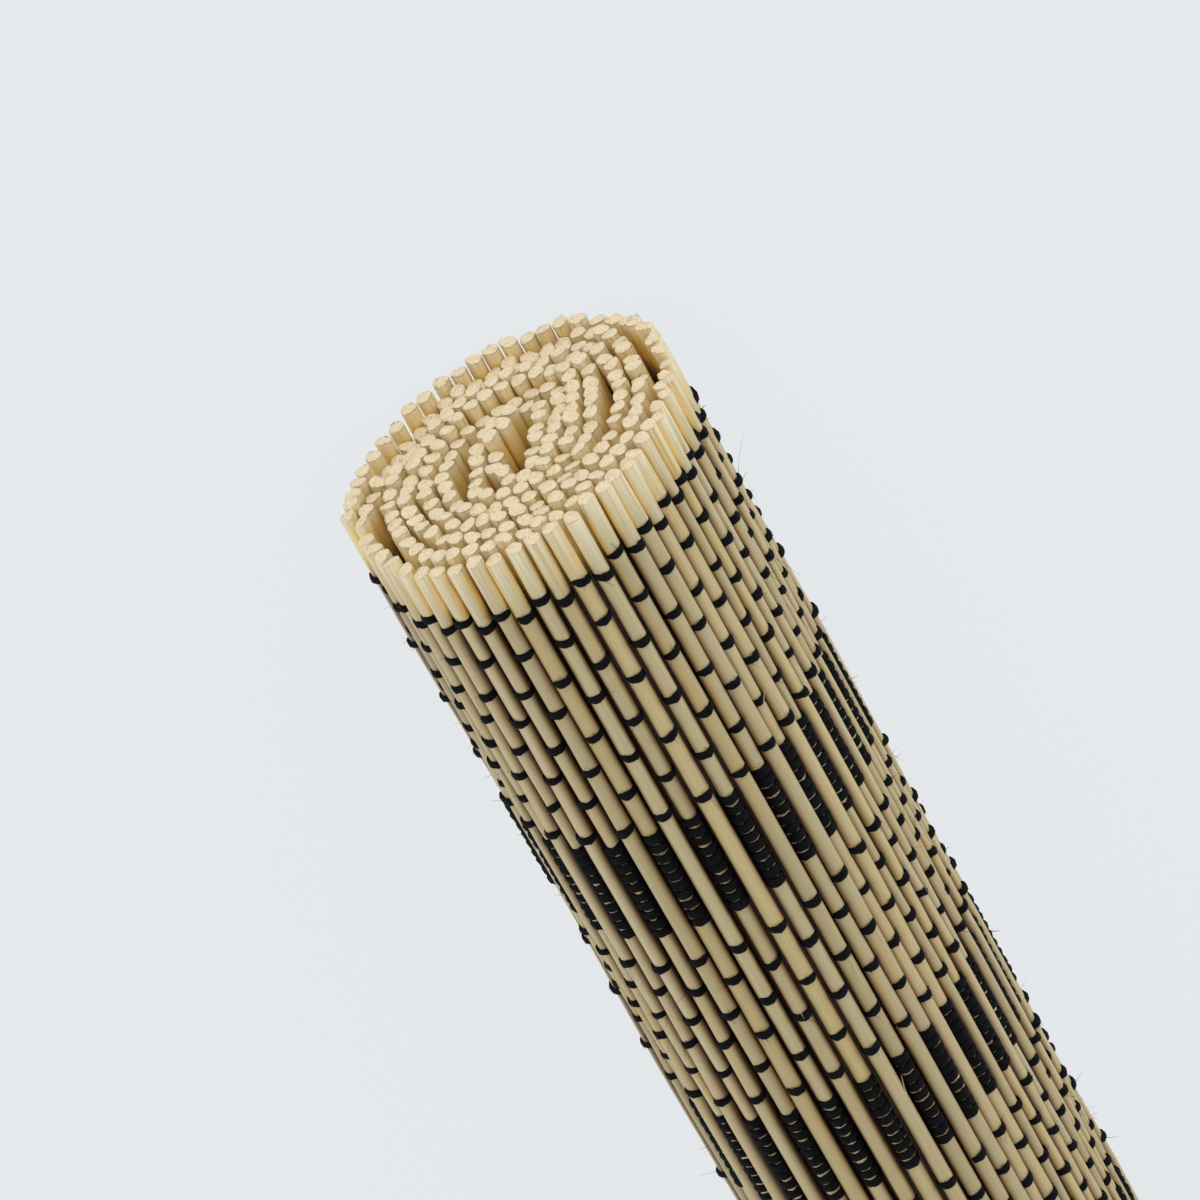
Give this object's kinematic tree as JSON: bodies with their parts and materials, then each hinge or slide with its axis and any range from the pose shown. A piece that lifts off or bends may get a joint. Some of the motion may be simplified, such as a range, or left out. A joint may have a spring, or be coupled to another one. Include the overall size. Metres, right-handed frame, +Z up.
{
  "type": "rolled bamboo placemat",
  "caption": "Placemat of thin bamboo sticks woven with dark cotton thread, rolled up along its length into a loose spiral and lying on its side.",
  "frame": {"origin": "middle of the roll's footprint on the surface it lies on: the bottom centre of its bounding box", "axes": "+Y runs along the roll from the near end, whose spiral the picture shows, to the far end; +Z is up from the small flat spot; +X is the side where the mat's free edge lies"},
  "size_m": [0.0334, 0.3002, 0.0329],
  "materials": {
    "bamboo": "plain split bamboo, unvarnished and slightly satin",
    "thread": "matt twisted cotton thread, nearly black"
  },
  "bodies": {
    "root": {"rolled_mat": "bamboo"}
  },
  "joints": []
}
